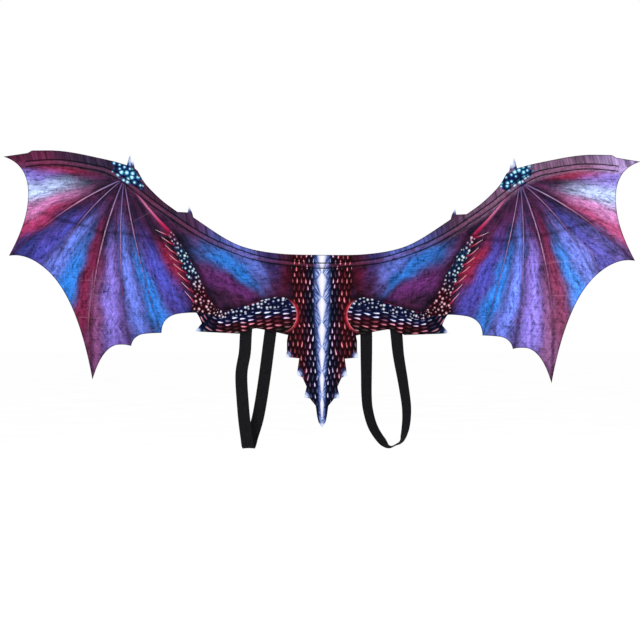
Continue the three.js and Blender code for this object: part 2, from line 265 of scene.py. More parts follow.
def crease_points():
    """Rows of points along every fine crease, so that the mesh has an edge on its crest."""
    made = []
    for x0, z0, lean, length, width, _ in FINE_CREASES:
        turn = math.radians(lean)
        run = np.arange(-1.15, 1.15, 1.6 / length)
        for row in (-1.6, -0.7, 0, 0.7, 1.6):
            off = row * width - 2.2 * np.sin(run * 2.3)
            x = x0 + run * length * math.cos(turn) - off * math.sin(turn)
            z = z0 + run * length * math.sin(turn) + off * math.cos(turn)
            made.append(np.stack([x, z], -1))
    return np.concatenate(made)


def cloth_back(x, z, fine=True):
    """Depth of the cloth's back face."""
    y = bow(x) + relief(x, z)
    across = across_channel(x, z)
    in_ridge = np.clip(1 - np.abs(across) / SEAM_HALF, 0, 1)
    end = smoothstep(CHANNEL_END - np.abs(x), -3, 3)
    y = y - RIDGE_HEIGHT * np.sin(0.5 * math.pi * in_ridge) ** 1.6 * end
    if not fine:
        return y
    along = np.interp(x, ARC_X, ARC)
    # The seams gather the cloth into small puckers, most of them between the channel and the top edge.
    above = smoothstep(across, SEAM_HALF - 1, SEAM_HALF + 1) * (1 - 0.45 * smoothstep(across, 8, 30))
    below = smoothstep(-across, SEAM_HALF - 1, SEAM_HALF + 1) * (1 - smoothstep(-across, 5, 22))
    drift = 2.2 * noise(across / 14, along / 30, 5)
    pucker = 0.55 + 0.45 * noise((along + drift) / 1.9, across / 30, 6)
    broad = 0.5 + 0.5 * noise((along + 2 * drift) / 7.5, across / 50, 7)
    y = y - (above + 0.7 * below) * end * (0.5 * pucker + 0.75 * broad)
    # Each stitch line pulls the cloth in.
    dip = np.exp(-(((np.abs(across) - SEAM_HALF) / 0.7) ** 2))
    y = y + 0.22 * dip * end
    # The membrane crumples a little, in folds that fan out from the wrist.
    free = smoothstep(-across, 12, 60) * smoothstep(np.abs(x), 70, 190)
    fold, here = fold_across(x, z)
    y = y - 1.5 * free * here * np.exp(-((fold / 3.2) ** 2))
    radius = np.hypot(np.abs(x) - WRIST[0], z - WRIST[1])
    fan = np.arctan2(z - WRIST[1], np.abs(x) - WRIST[0])
    side = np.sign(x) * 3
    folds = noise(fan * 7 + side, radius / 90 + side, 8) + 0.5 * noise(fan * 15 + side, radius / 45, 9)
    y = y - free * 0.8 * folds
    y = y - free * 0.3 * noise(x / 9, z / 7, 10)
    y = y - free * (0.2 + 0.3 * smoothstep(np.abs(x), 330, 430)) * noise(x / 34 + 3, z / 4.6, 12)
    for crease in FINE_CREASES:
        run, off = crease_places(x, z, crease)
        y = y - crease[-1] * free * np.exp(-np.abs(off) - run**4)
    return y


# The print's plan: the wrist that the ribs leave from, in millimetres from the middle
WRIST = (327.0, 141.0)


def steps(length, step):
    """Shares of the way along a length in steps of about that size, without its start."""
    count = max(1, math.ceil(length / step))
    return (np.arange(1, count + 1) / count)[:, None]


def spline(points, step):
    """Smooth curve through points, with the ends held, in steps of about that length."""
    points = np.array(points, float)
    made = []
    for i in range(len(points) - 1):
        a, b, c, d = points[max(i - 1, 0)], points[i], points[i + 1], points[min(i + 2, len(points) - 1)]
        t = steps(np.linalg.norm(c - b), step)
        leave, arrive = (c - a) / 2, (d - b) / 2
        cubic = (2 * b - 2 * c + leave + arrive) * t**3 + (3 * c - 3 * b - 2 * leave - arrive) * t**2
        made.append(cubic + leave * t + b)
    return np.concatenate(made)


def half_outline(step):
    """From the top of the yoke out to the tip and back to the tail's tip."""
    scale = np.array([HALF_SPAN, WING_HEIGHT])
    path = [np.array([TOP_START]) * scale]
    for stretch in TOP_EDGE:
        path.append(spline([path[-1][-1], *(np.array(stretch) * scale)], step))
    for end, pull in FREE_EDGE:
        start, end = path[-1][-1], np.array(end) * scale
        pull = (start + end) / 2 if pull is None else np.array(pull) * scale
        t = steps(np.linalg.norm(pull - start) + np.linalg.norm(end - pull), step)
        path.append(start * (1 - t) ** 2 + 2 * pull * t * (1 - t) + end * t * t)
    for point in TAIL_EDGE:
        start, end = path[-1][-1], np.array(point) * (TAIL_HALF, TAIL_DROP)
        path.append(start + (end - start) * steps(np.linalg.norm(end - start), step))
    return np.concatenate(path)


def outline(step):
    half = half_outline(step)
    return np.concatenate([half, (half[1:-1] * (-1, 1))[::-1]])


def tree_of(points):
    tree = KDTree(len(points))
    for i, point in enumerate(points):
        tree.insert((point[0], point[1], 0), i)
    tree.balance()
    return tree


def nearest(tree, points):
    """Number of the nearest tree point, and its distance, for each point."""
    found = [tree.find((x, z, 0))[1:] for x, z in points]
    return np.array([f[0] for f in found]), np.array([f[1] for f in found])


def inside(points, loop):
    """Which points lie inside a closed loop, by counting the edges to their right."""
    result = np.zeros(len(points), bool)
    ends = np.roll(loop, -1, axis=0)
    for (x0, z0), (x1, z1) in zip(loop, ends):
        if z0 == z1:
            continue
        low, high = min(z0, z1), max(z0, z1)
        row = (points[:, 1] >= low) & (points[:, 1] < high)
        crossing = x0 + (points[row, 1] - z0) * (x1 - x0) / (z1 - z0)
        result[row] ^= points[row, 0] < crossing
    return result


EDGE_LOOP = outline(2.2)
EDGE_TREE = tree_of(outline(0.5))


def fill(column_step, channel_rows, spacing, lines=()):
    """Points in the outline: rows along the channel, an even grid under them, and points along lines."""
    xs = np.arange(-HALF_SPAN, HALF_SPAN, column_step)
    across = np.array(channel_rows)[:, None]
    columns = np.broadcast_to(xs, (len(across), len(xs)))
    near = np.stack([columns, channel_z(xs) + across * channel_lean(xs)], -1)
    grid_x, grid_z = np.meshgrid(
        np.arange(-HALF_SPAN, HALF_SPAN, spacing), np.arange(-TAIL_DROP, 200, spacing * 0.866)
    )
    grid_x[::2] += spacing / 2
    grid = np.stack([grid_x.ravel(), grid_z.ravel()], -1)
    grid = grid[across_channel(grid[:, 0], grid[:, 1]) < min(channel_rows) - spacing * 0.6]
    if len(lines):
        _, far = nearest(tree_of(lines), grid)
        lines = lines[across_channel(lines[:, 0], lines[:, 1]) < min(channel_rows) - spacing * 0.6]
        grid = np.concatenate([grid[far > 0.9], lines])
    points = np.concatenate([near.reshape(-1, 2), grid])
    points = points[inside(points, EDGE_LOOP)]
    _, far = nearest(EDGE_TREE, points)
    return points[far > 0.45 * column_step]


def triangulate(points):
    """Triangles inside the outline, over the outline's own points first and then these."""
    every = np.concatenate([EDGE_LOOP, points])
    made = delaunay_2d_cdt([Vector(p) for p in every], [], [list(range(len(EDGE_LOOP)))], 1, 1e-7)
    if len(made[0]) != len(every):
        raise ValueError("the outline crosses itself or a point lies on it")
    return every, np.array(made[2])


def colour(code):
    """Linear colour from a hexadecimal code."""
    parts = [int(code[i:i + 2], 16) / 255 for i in (0, 2, 4)]
    return [p / 12.92 if p <= 0.04045 else ((p + 0.055) / 1.055) ** 2.4 for p in parts]


# Ribs of the print from the wrist to the wing's points: the end in the edge's shares, the sideways bend and
# the half width in millimetres
RIB_POINTS = 260
RIBS = [
    ((0.975, 0.035), 22, 0.9),
    ((0.853, -0.03), 24, 0.5),
    ((0.7215, -0.49), 42, 0.9),
    ((0.606, -0.345), 20, 0.5),
    ((0.508, -0.288), 12, 0.6),
]

# Middle line of the arm from the wrist to the shoulder by the spine, with its half width
ARM = [
    (322, 136, 2.0), (300, 108, 2.0), (275, 78, 2.4), (252, 52, 4), (237, 26, 7), (224, 2, 8.5),
    (211, -26, 10), (200, -54, 12), (188, -84, 19), (168, -95, 20), (140, -93, 21), (100, -86, 27),
    (72, -82, 30),
]
# How far along the arm its elbow is, in millimetres
ELBOW_RUN = 250

# Outward points of the outline, which the print fades to pale
PALE_TIPS = [
    (220, 97), (312, 172), (317, 182), (210, -110), (60.3, -151), (41.8, -181), (29.6, -218), (0, -268),
]

# A long soft fold across the wing
FOLD = [(190, 36), (235, 42), (367, 56), (453, 82), (490, 98)]


def fold_across(x, z):
    """Distance above the long fold, and how much of the fold there is."""
    u, w = np.array(FOLD, float).T
    out = np.abs(x)
    here = smoothstep(out, 205, 250) * (1 - smoothstep(out, 440, 480))
    return z - np.interp(out, u, w) - 2 * noise(x / 30, x * 0, 41), here


def arm_line():
    """The arm's middle line: points, directions, half widths, the run in millimetres and in scales, and the
    length and width of a scale."""
    line = spline(np.array(ARM), 1.0)
    middle, half = line[:, :2], line[:, 2]
    step = np.gradient(middle, axis=0)
    length = np.linalg.norm(step, axis=1)
    long, wide = np.interp(half, (8, 28), (8, 15)), np.interp(half, (8, 28), (5, 6.8))
    return middle, step / length[:, None], half, np.cumsum(length), np.cumsum(length / long), long, wide


def rib_lines():
    """The middle line of each rib and its half width."""
    t = np.linspace(0, 1, RIB_POINTS)[:, None]
    for end, bend, thick in RIBS:
        start, end = np.array(WRIST), np.array(end) * (HALF_SPAN, WING_HEIGHT)
        run = end - start
        middle = (start + end) / 2 + np.array([-run[1], run[0]]) / np.linalg.norm(run) * bend
        yield start * (1 - t) ** 2 + 2 * middle * t * (1 - t) + end * t * t, thick


def rib_distance(points):
    """Distance outside the nearest rib, which tapers, and the share of the way along it."""
    best = np.full(len(points), 1e3)
    share = np.zeros(len(points))
    for line, thick in rib_lines():
        where, far = nearest(tree_of(line), points)
        along = where / (RIB_POINTS - 1)
        width = thick * (1.1 - 0.6 * along + 0.4 * np.exp(-(((along - 0.36) / 0.03) ** 2)))
        closer = far - width < best
        best[closer] = (far - width)[closer]
        share[closer] = along[closer]
    return best, share


def print_points():
    """Rows of points along the ribs and the arm's sides, so that the print has sharp edges there."""
    made = []
    middle, _, half, *_ = arm_line()
    sides = [(line, [-2.0, 0, 2.0]) for line, _ in rib_lines()]
    quills = [-half - 9.6, -half - 6.6, -half - 3.6]
    sides.append((middle, [*quills, -half - 0.6, -half + 1, half - 1, half + 0.6]))
    for line, rows in sides:
        ahead = np.gradient(line, axis=0)
        across = np.stack([ahead[:, 1], -ahead[:, 0]], -1) / np.linalg.norm(ahead, axis=1)[:, None]
        for row in rows:
            made.append((line + across * (np.zeros(len(line)) + row)[:, None])[10::2])
    made = np.concatenate(made)
    return np.concatenate([made, made * (-1, 1)])


# Colours of the print
PALETTE = {
    "ice": "b8ccfb", "pink": "cc7cb6", "rose": "ae3868", "crimson": "a42440", "ruby": "7c2244",
    "garnet": "520a1e", "mulberry": "8a5084", "purple": "6c3078", "violet": "8a7ae0",
    "periwinkle": "6c84ee", "indigo": "4a50bc", "navy": "343a84", "azure": "2c82e6",
}

# Glows of the print are streaks that fan out from a centre, on both wings alike: the centre, the angle and
# the half width in degrees, where it starts and ends in millimetres from the centre, strength and colour.
SHOULDER = (72.0, -82.0)
GLOWS = [
    (WRIST, 4, 6, 50, 150, 0.85, "crimson"),
    (WRIST, -4, 6, 110, 215, 0.85, "violet"),
    (WRIST, -14, 7, 85, 215, 1, "ice"),
    (WRIST, -24, 5, 75, 225, 0.95, "pink"),
    (WRIST, -31, 4, 90, 240, 0.9, "rose"),
    (WRIST, -39, 4, 95, 240, 0.9, "navy"),
    (WRIST, -46, 4, 80, 230, 0.9, "indigo"),
    (WRIST, -56, 5, 85, 240, 1, "periwinkle"),
    (WRIST, -65, 5, 110, 280, 1, "azure"),
    (WRIST, -74, 4, 80, 300, 0.9, "ruby"),
    (WRIST, -80, 3, 150, 350, 0.75, "mulberry"),
    (WRIST, -87, 4, 100, 300, 1, "violet"),
    (WRIST, -97, 4, 70, 290, 1, "periwinkle"),
    (WRIST, -106, 4, 110, 280, 1, "azure"),
    (WRIST, -115, 5, 100, 250, 0.9, "indigo"),
    (WRIST, -124, 4, 120, 200, 0.7, "crimson"),
    (SHOULDER, 96, 12, 30, 120, 0.9, "garnet"),
    (SHOULDER, 74, 9, 70, 170, 0.85, "navy"),
    (SHOULDER, 56, 9, 60, 200, 1, "periwinkle"),
    (SHOULDER, 40, 8, 50, 170, 0.9, "azure"),
    (SHOULDER, 24, 8, 40, 140, 0.85, "purple"),
]
# The fan bends outwards near its centre, as the ribs do.
FAN_BEND = 11
FAN_LENGTH = 270


def membrane(points, side):
    """Base colour of the print between the arm, the ribs and the edges, with a painted sheen on the right
    wing.
    """
    u, z = points[:, 0], points[:, 1]
    radius = np.hypot(u - WRIST[0], z - WRIST[1])
    angle = np.arctan2(z - WRIST[1], u - WRIST[0])
    mottle = noise(angle * 9 + side, radius / 50, 21) + 0.6 * noise(u / 13 + side * 7, z / 11, 22)
    dark, wine = np.array(colour("23162c")), np.array(colour("4c2044"))
    made = dark + (wine - dark) * smoothstep(mottle + 0.5 * smoothstep(radius, 60, 260), -0.8, 1.1)[:, None]
    shift_u = 5 * noise(u / 24 + side * 3, z / 30, 23)
    shift_z = 5 * noise(u / 26, z / 22 + side * 5, 24)
    for centre, lean, half_width, begin, end, strength, name in GLOWS:
        du, dz = u + shift_u - centre[0], z + shift_z - centre[1]
        reach = np.hypot(du, dz)
        turned = np.degrees(np.arctan2(dz, du)) - FAN_BEND * (1 - reach / FAN_LENGTH)
        across = (turned - lean) / half_width
        along = (2 * reach - begin - end) / (end - begin)
        share = strength * np.exp(-(np.abs(across) ** 2.4) - np.abs(along) ** 3)
        share = share * (0.88 + 0.12 * noise(across * 3 + side, along * 2 + lean, 25))
        made = made + (np.array(colour(PALETTE[name])) - made) * share[:, None]
    # The strip above and just below the channel stays dark, most of all near the tips.
    strip = smoothstep(across_channel(u, z), -14, -4) * (0.4 + 0.6 * smoothstep(u, 150, 260))
    # A painted sheen makes the right wing paler, most of all towards its tip and in the strip by the channel.
    pale = ((side > 0) * smoothstep(u, 150, 330))[:, None]
    red = (0.6 * smoothstep(u, 400, 480) + 0.3 * noise(u / 24 + side * 5, z / 40, 26))[:, None]
    shade = np.array(colour("402740")) + red * (np.array(colour("6a2444")) - np.array(colour("402740")))
    lilac, mauve = np.array(colour("745672")), np.array(colour("a088ba"))
    shade = shade * (1 - pale) + (lilac + (mauve - lilac) * smoothstep(u, 420, 500)[:, None]) * pale
    made = made + (shade - made) * (0.85 * strip)[:, None]
    # A milky lilac veil over the right wing's outer part: painted sheen.
    painted_sheen = 0.09 * pale * smoothstep(u - 0.35 * z, 330, 450)[:, None]
    return made * (0.96 + 0.24 * pale) + (np.array(colour("c8b0e4")) - made) * painted_sheen


def print_fields(points):
    """What the printed cloth's material reads at each point."""
    side = np.sign(points[:, 0])
    folded = np.abs(points) * (1, 0) + points * (0, 1)
    u, z = folded[:, 0], folded[:, 1]
    middle, ahead, half, run, cells, long, wide = arm_line()
    where, _ = nearest(tree_of(middle), folded)
    ahead, half, run, cells, long, wide = (part[where] for part in (ahead, half, run, cells, long, wide))
    away = folded - middle[where]
    past = np.sum(away * ahead, axis=1)
    off = away[:, 0] * ahead[:, 1] - away[:, 1] * ahead[:, 0]
    # The upper arm is fuller on its lower side.
    lower = 8 * smoothstep(-off, 0, 8) * smoothstep(run, ELBOW_RUN - 30, ELBOW_RUN)
    lower = lower * (1 - smoothstep(run, 335, 375))
    outside = np.hypot(past * (past > 0), off) - half - lower
    _, tip = nearest(tree_of(PALE_TIPS), folded)
    # Painted shade on the cloth just under the long fold.
    fold, folded_here = fold_across(points[:, 0], z)
    crease_shade = folded_here * np.exp(-(((fold + 2.5) / 3.5) ** 2))
    radius = np.hypot(u - WRIST[0], z - WRIST[1])
    angle = np.arctan2(z - WRIST[1], u - WRIST[0])
    rib, rib_share = rib_distance(folded)
    _, edge = nearest(EDGE_TREE, points)
    glow = membrane(folded, side)
    # Pale lines along the fine creases: a painted highlight on their crests, with pale wear of the print.
    worn = np.zeros(len(points))
    for crease in FINE_CREASES:
        length, place = crease_places(points[:, 0], points[:, 1], crease)
        worn = np.maximum(worn, crease[-1] * 1.8 * np.exp(-1.3 * np.abs(place) - length**4))
    return {
        "marks_and_painted_light": np.stack([worn, tip, crease_shade], -1),
        "arm": np.stack([run + past, off, outside], -1),
        "lap": np.stack([cells + past / long, off / wide, off / half], -1),
        "fan": np.stack([angle, radius, side], -1),
        "flat": np.stack([u, z, side], -1),
        "lines": np.stack([rib, rib_share, edge], -1),
        "channel": np.stack(
            [np.interp(points[:, 0], ARC_X, ARC), across_channel(points[:, 0], z), points[:, 0]], -1
        ),
        "glow": np.concatenate([glow, np.ones((len(glow), 1))], axis=1),
    }


def add_piece(name, points, faces, materials, fields=None, face_materials=None):
    """A smooth mesh object riding on the root body, its points in millimetres before it hangs askew."""
    mesh = bpy.data.meshes.new(name)
    mesh.from_pydata((np.array(points) * MM).tolist(), [], faces)
    for field, values in (fields or {}).items():
        kind = "color" if values.shape[1] == 4 else "vector"
        made = mesh.attributes.new(field, "FLOAT_" + kind.upper(), "POINT")
        made.data.foreach_set(kind, values.astype(np.float32).ravel())
    for material in materials:
        mesh.materials.append(material)
    if face_materials is not None:
        mesh.polygons.foreach_set("material_index", face_materials)
    mesh.polygons.foreach_set("use_smooth", np.ones(len(mesh.polygons), bool))
    mesh.update()
    piece = bpy.data.objects.new(name, mesh)
    bpy.context.scene.collection.objects.link(piece)
    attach(piece, "root")
    return piece


def hang(points):
    """Upright shear by which the sewn pieces hang askew."""
    made = np.array(points, float)
    made[..., 2] -= ASKEW * made[..., 0]
    return made


class Field:
    """One output of a shader node. Arithmetic on it adds more nodes."""

    def __init__(self, tree, socket):
        self.tree, self.socket = tree, socket

    def math(self, operation, *others):
        return add_node(self.tree, "Math", (self, *others), operation=operation)

    __add__ = __radd__ = partialmethod(math, "ADD")
    __sub__ = partialmethod(math, "SUBTRACT")
    __mul__ = __rmul__ = partialmethod(math, "MULTIPLY")
    __truediv__ = partialmethod(math, "DIVIDE")
    floor = partialmethod(math, "FLOOR")
    fraction = partialmethod(math, "FRACT")
    size = partialmethod(math, "ABSOLUTE")
    sine = partialmethod(math, "SINE")
    power = partialmethod(math, "POWER")
    least = partialmethod(math, "MINIMUM")
    most = partialmethod(math, "MAXIMUM")
    below = partialmethod(math, "LESS_THAN")
    above = partialmethod(math, "GREATER_THAN")

    def __rsub__(self, other):
        return add_node(self.tree, "Math", (other, self), operation="SUBTRACT")

    def step(self, low, high):
        """0 below low and 1 above high, smooth between them."""
        inputs = {"Value": self, "From Min": low, "From Max": high}
        return add_node(self.tree, "MapRange", inputs, interpolation_type="SMOOTHSTEP")

    def fade(self, low, high):
        """1 below low and 0 above high, smooth between them."""
        return 1 - self.step(low, high)

    def ramp(self, stops):
        """Colour between stops of (place, code)."""
        made = add_node(self.tree, "ValToRGB", (self,))
        elements = made.socket.node.color_ramp.elements
        while len(elements) < len(stops):
            elements.new(1)
        for element, (place, code) in zip(elements, stops):
            element.position = place
            element.color = (*colour(code), 1)
        return made

    def toward(self, other, share, **settings):
        """Colour between this one and another."""
        if isinstance(other, str):
            other = (*colour(other), 1)
        inputs = {0: share, 6: self, 7: other}
        return add_node(self.tree, "Mix", inputs, output=2, data_type="RGBA", **settings)

    def times(self, factor):
        """Colour made lighter or darker by a number."""
        grey = add_node(self.tree, "CombineColor", (factor, factor, factor))
        return self.toward(grey, 1.0, blend_type="MULTIPLY")

    def parts(self):
        """The three numbers of a vector."""
        made = add_node(self.tree, "SeparateXYZ", (self,))
        return [Field(self.tree, made.socket.node.outputs[i]) for i in range(3)]


def add_node(tree, kind, inputs=(), output=0, **settings):
    node = tree.nodes.new("ShaderNode" + kind)
    for name, value in settings.items():
        setattr(node, name, value)
    for key, value in inputs.items() if isinstance(inputs, dict) else enumerate(inputs):
        if isinstance(value, Field):
            tree.links.new(value.socket, node.inputs[key])
        else:
            node.inputs[key].default_value = value
    return Field(tree, node.outputs[output])


def new_tree(name):
    material = bpy.data.materials.new(name)
    material.use_nodes = True
    material.node_tree.nodes.clear()
    return material, material.node_tree


def attribute(tree, name, output=1):
    return add_node(tree, "Attribute", output=output, attribute_name=name)


def vector(x, y, z=0.0):
    return add_node(x.tree, "CombineXYZ", (x, y, z))


def cloud(place, scale=1.0, detail=2.0, roughness=0.5, curl=0.0):
    """Noise from 0 to 1."""
    inputs = {"Vector": place, "Scale": scale, "Detail": detail, "Roughness": roughness, "Distortion": curl}
    return add_node(place.tree, "TexNoise", inputs)


def surface(tree, base, roughness, bump=None, **constants):
    """Ends a material with one shader. Numbers that stay the same are set on the shader's own sockets."""
    inputs = {"Base Color": base, "Roughness": roughness}
    if bump is not None:
        height, distance = bump
        inputs["Normal"] = add_node(tree, "Bump", {"Height": height, "Distance": distance, "Strength": 1.0})
    inputs.update({name.replace("_", " "): value for name, value in constants.items()})
    shader = add_node(tree, "BsdfPrincipled", inputs)
    end = tree.nodes.new("ShaderNodeOutputMaterial")
    tree.links.new(shader.socket, end.inputs["Surface"])


def scales(along, across, depth, sharp, slim):
    """Scales in rows, their tips towards +across: a random number, the shine and the dark outline.

    depth is how far a scale laps the next row, sharp how round its tip is, slim how thin its bright spot."""
    row = across.floor()
    down = across - row
    shift = (row * 0.5).fraction()
    here = along + shift
    there = along + (0.5 - shift)
    offset = here.fraction() - 0.5
    arc = (1 - (offset * 2).size().power(sharp)).most(0).power(0.7) * depth
    tip = down.below(arc)
    body = 1 - tip
    sideways = offset * tip + (there.fraction() - 0.5) * body
    number = vector(here.floor() * tip + there.floor() * body, row + body)
    chance = add_node(number.tree, "TexWhiteNoise", {"Vector": number}, noise_dimensions="2D")
    fall = (down + tip) / (1 + depth)
    rim = (arc - down).size()
    # The bright spot is a drop: blunt at the scale's tip, with a long thin tail.
    tail = (0.7 - fall).most(0)
    spot = (tail * 2.6).power(2) + ((fall - 0.7).most(0) * 6).power(2)
    spot = spot + ((sideways + 0.08) * slim * (1 + tail * 1.6)).power(2)
    shadow = body * rim.fade(0.0, 0.5)
    return chance, spot.fade(0.0, 1.0), rim.fade(0.03, 0.24).most(shadow)


def scale_skin(chance, shine, line, deep, bright):
    """Colour of scales from nearly black seams, a deep body and a small bright spot of random strength."""
    skin = deep.times((1 - line) * (0.3 + chance * 0.6) * (0.6 + shine * 0.6) + 0.02)
    spot = shine.step(0.25, 1.0) * (chance.step(0.25, 0.9) * 0.95 + 0.05) * 1.1
    return skin.toward(bright, spot.least(1.0))


def pebbles(place, size):
    """Distance from the middle of a pebble, a random number for it, and the distance from its edge."""
    inputs = {"Vector": place, "Scale": 1 / size, "Randomness": 0.8}
    near = add_node(place.tree, "TexVoronoi", inputs, voronoi_dimensions="2D")
    chance = Field(place.tree, near.socket.node.outputs["Color"]).parts()[0]
    gap = add_node(place.tree, "TexVoronoi", inputs, feature="DISTANCE_TO_EDGE", voronoi_dimensions="2D")
    return near, chance, gap


def print_values(tree):
    """What the layers of the print read at a point: the mesh's fields, and noises that they share."""
    at = SimpleNamespace(glow=attribute(tree, "glow", 0))
    at.run, at.off, at.outside = attribute(tree, "arm").parts()
    at.cells, at.rows, at.share = attribute(tree, "lap").parts()
    at.angle, at.radius, at.side = attribute(tree, "fan").parts()
    at.u, at.z, _ = attribute(tree, "flat").parts()
    at.rib, at.rib_share, at.edge = attribute(tree, "lines").parts()
    at.along, at.across, at.x = attribute(tree, "channel").parts()
    at.worn, at.tip, at.fold = attribute(tree, "marks_and_painted_light").parts()
    at.plane = vector(at.u, at.z, at.side * 30)
    at.wander = cloud(at.plane, 0.03) - 0.5
    at.jog = (at.wander * 9).sine()
    at.streak = cloud(vector(at.angle * 34 + at.wander * 3, at.radius * 0.03, at.side * 9), 1.0, 3.0, 0.6)
    at.hair = cloud(vector(at.angle * 74 + at.radius * 0.22, at.radius * 0.05, at.side * 5))
    # Noise for the painted light and shade of the puckers above the channel, and for the ridge's painted
    # highlight.
    at.gathers = cloud(vector(at.along * 0.42 + at.across * 0.1, at.across * 0.035, 3.0))
    feathers = vector((at.u * 1.5 - at.z) * 0.36, (at.u + at.z * 1.5) * 0.04, at.side)
    at.feather = cloud(feathers, 1.0, 3.0, 0.6)
    return at


def hide_layer(at):
    """Streaks that fan out from the wrist, hairs, blotches and veins, painted light and shade of the puckers
    above the channel, painted shade under the long fold, and a painted highlight with pale wear along the
    fine creases.
    """
    cross = cloud(vector(at.angle * 74 - at.radius * 0.26, at.radius * 0.05, at.side * 6))
    hide = cloud(vector(at.u, at.z, at.side * 13), 0.16, 3.0, 0.6)
    ripple = cloud(vector(at.x * 0.04, at.z * 0.42))
    curl = cloud(vector(at.u + at.wander * 20, at.z * 0.7, at.side * 4), 0.055, 3.0, 0.6, 0.6)
    vein = (((curl * 6.5).fraction() - 0.5).size() * 2).step(0.45, 1.0)
    light = at.streak.step(0.3, 0.7) * 0.74 + at.hair.step(0.32, 0.68) * 0.38 + cross.step(0.32, 0.68) * 0.2
    light = light + hide.step(0.33, 0.67) * 0.24 + vein * 0.26 + 0.08
    light = light + ripple.step(0.36, 0.64) * 0.24 * (at.u - 150).step(0, 90)
    # Above the channel the streaks give way to painted light and shade of the puckers.
    above = at.across.step(3.2, 5.2)
    broad = cloud(vector(at.along * 0.11 + at.across * 0.04, at.across * 0.02, 7.0))
    painted_pucker_shading = at.gathers.step(0.22, 0.78) * 0.8 + broad.step(0.3, 0.7) * 0.7 + 0.22
    light = light + (painted_pucker_shading - light) * above
    groove = (curl - 0.56).size().fade(0.004, 0.03) * (1 - above)
    # The cloth just under the long fold is darkened: painted shade.
    base = at.glow.times((light - groove * 0.22) * (1 - at.fold * 0.45))
    # Paler along the fine creases: painted highlight, with pale wear of the print.
    return base.toward("d0a0bc", at.worn.step(0.3, 0.9) * 0.16)


def rib_layer(at, base):
    """Thin pale ribs between dark sides."""
    base = base.times(1 - at.rib.fade(0.0, 4.5) * 0.4)
    rib = at.rib_share.ramp(
        [(0, "5a4a9a"), (0.2, "c4a4d8"), (0.42, "d08ab4"), (0.7, "9a3a60"), (1.0, "3a1436")]
    )
    return base.toward(rib.times(0.5 + at.hair.step(0.3, 0.7) * 0.5), at.rib.fade(-0.5, 0.5) * 0.85)


def wrist_layer(at, base):
    """Round pebbles on the wrist, in a ragged oval along the slope of the channel."""
    centre, chance, gap = pebbles(vector(at.u + at.side * 170, at.z), 8.6)
    du, dz = at.u - 322, at.z - 149
    along, across = (du * 0.79 + dz * 0.61) / 33, (dz * 0.79 - du * 0.61) / 16
    fray = along.power(2) + across.power(2) + (cloud(at.plane, 0.1) - 0.5) * 2 + (chance - 0.5) * 0.5
    pebble = (centre / (0.6 + chance * 0.7)).ramp(
        [(0.06, "e4fbff"), (0.2, "86cfe6"), (0.32, "2a7aa4"), (0.46, "1c3a74"), (0.8, "101a3c")]
    )
    return base.toward(pebble.times(0.1 + gap.step(0.02, 0.12) * 0.9), fray.fade(0.7, 1.0))


def spine_layer(at, base):
    """Columns of scales down the spine and the tail."""
    column, row = (at.u + at.jog * 1.6) / 7.6, (40 - at.z + at.jog * 2.4) / 10.6
    chance, shine, line = scales(column, row, 0.85, 1.6, 5.6)
    tone = at.u / 56 + (chance - 0.5) * 0.2
    deep = tone.ramp(
        [(0, "24306c"), (0.26, "141c46"), (0.4, "300e34"), (0.6, "6c1028"), (0.85, "4c0e20"), (1.0, "1c0c1c")]
    )
    bright = tone.ramp(
        [(0, "dbe4ff"), (0.3, "d8d0ff"), (0.45, "f0c0e0"), (0.65, "ff9aa0"), (0.9, "e87880"), (1.0, "8a6a90")]
    )
    width = 50 + 16 * (-96 - at.z).step(0, 16)
    body = at.u + (cloud(vector(at.z * 0.09, at.side)) - 0.5) * 14
    base = base.times(1 - 0.7 * body.fade(46, 68))
    return base.toward(scale_skin(chance, shine, line, deep, bright), body.fade(width - 2, width))


def kite_layer(at, base):
    """A chain of pale kites down the middle, between feathered sides."""
    fall = ((30 - at.z) / 41.0).fraction()
    taper = 1 - 0.6 * (-40 - at.z).step(0, 215)
    half = ((fall / 0.3).least((1 - fall) / 0.7).power(0.8) * 8.0 + 0.9) * taper
    plate = at.u / half
    ragged = at.feather - 0.5
    plume = (at.feather * 1.2 + 0.24 - at.u / (taper * 36)).ramp(
        [(0.3, "0c1230"), (0.5, "283a74"), (0.66, "7088cc"), (0.82, "ccd8f8")]
    )
    base = base.toward(plume, (at.u / (taper * 16) + ragged * 0.9).fade(0.7, 1.05) * 0.95)
    base = base.toward("10163a", (plate - 1.2).size().fade(0.05, 0.35) * 0.5)
    kite = plate.ramp([(0, "fbf9ff"), (0.55, "e0e0f6"), (0.85, "98a6dc"), (1.0, "5a6ab0")])
    return base.toward(kite.times(0.82 + at.feather * 0.25), (plate + ragged * 0.6).fade(0.88, 1.05))


def bone_layer(at, base):
    """The arm's dark sides, a red crescent round its end at the shoulder, and a thin bone from the wrist."""
    base = base.times(1 - at.outside.fade(-1.0, 12.0) * (at.run - 96).step(0, 26) * 0.72)
    crescent = at.outside.step(-0.5, 0.5) * at.outside.fade(2.0, 8.0) * (at.run - 378).step(0, 16)
    crescent = crescent * (at.off + 4).size().fade(14, 30)
    glowing = (at.outside / 7).ramp([(0, "ff9aa4"), (0.22, "c8283e"), (0.6, "8a1626"), (1.0, "4a0e1c")])
    base = base.toward(glowing, crescent * (0.55 + at.streak.step(0.35, 0.6) * 0.4))
    bone = (at.run / 380).ramp(
        [(0, "6a5ab0"), (0.06, "8c3a70"), (0.14, "d87aa8"), (0.24, "c22a5c"), (0.3, "7a1438")]
    )
    return base.toward(bone.times(0.75 + at.share * 0.35), at.outside.fade(-1.0, 0.4) * at.run.step(14, 26))


